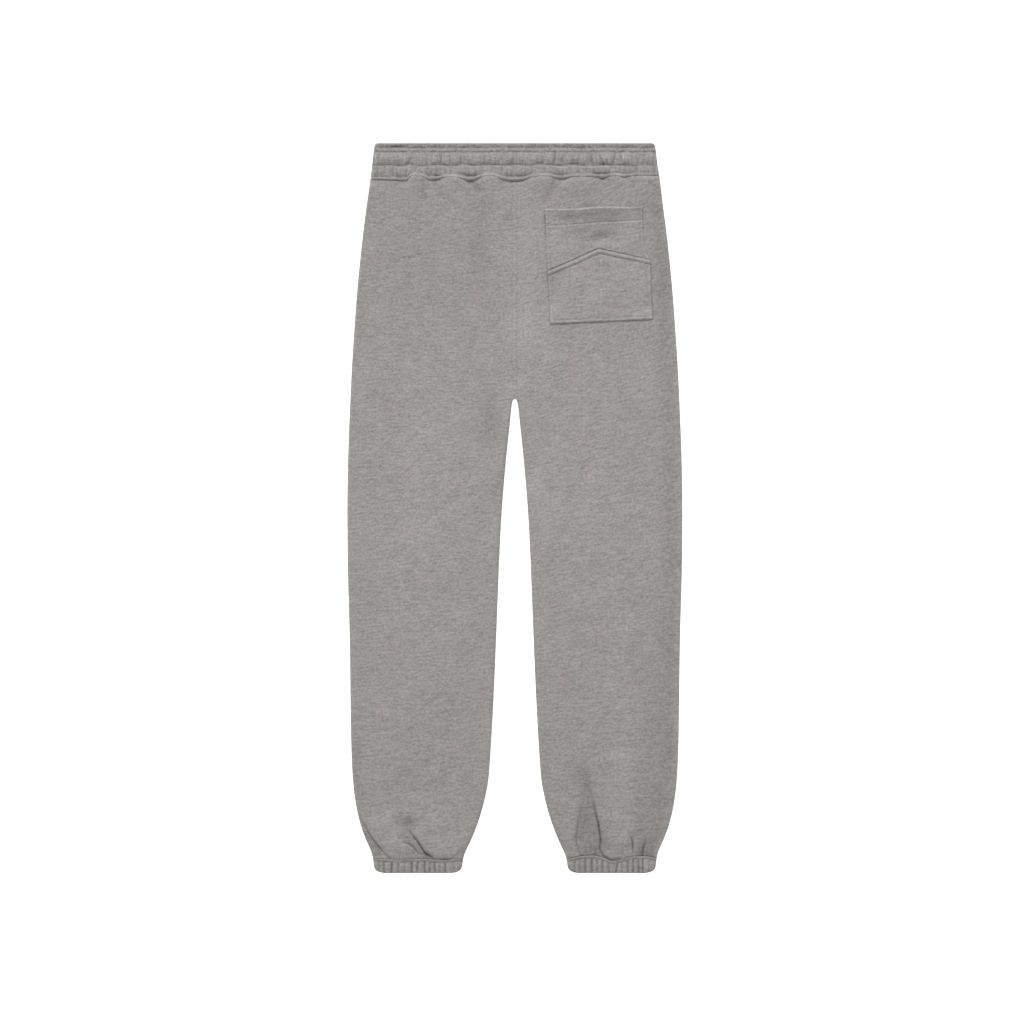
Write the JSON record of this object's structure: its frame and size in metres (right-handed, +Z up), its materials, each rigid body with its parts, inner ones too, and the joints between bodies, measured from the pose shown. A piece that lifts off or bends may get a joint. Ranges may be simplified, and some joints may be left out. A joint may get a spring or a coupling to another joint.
{
  "type": "jogger sweatpants",
  "caption": "Heather grey fleece joggers laid flat, seat side up: wide elastic waistband with stitched channels, patch pocket with a pointed seam, legs gathered into narrow hems.",
  "frame": {"origin": "on the surface that the garment lies on, under the middle of its outline", "axes": "+Y from the hems towards the waistband, +X to the wearer's right as the seat is seen from above, +Z up, out of the seat"},
  "size_m": [0.4696, 1.022, 0.0122],
  "materials": {
    "fleece": "heather grey sweatshirt fleece, smooth knit face",
    "casing": "heather grey sweatshirt fleece folded over elastic and gathered"
  },
  "bodies": {
    "root": {"waistband_back": "casing", "waistband_front": "casing", "leg_left_back": "fleece", "leg_left_front": "fleece", "hem_left_back": "casing", "hem_left_front": "casing", "leg_right_back": "fleece", "leg_right_front": "fleece", "hem_right_back": "casing", "hem_right_front": "casing", "pocket_yoke": "fleece", "pocket_body": "fleece"}
  },
  "joints": []
}
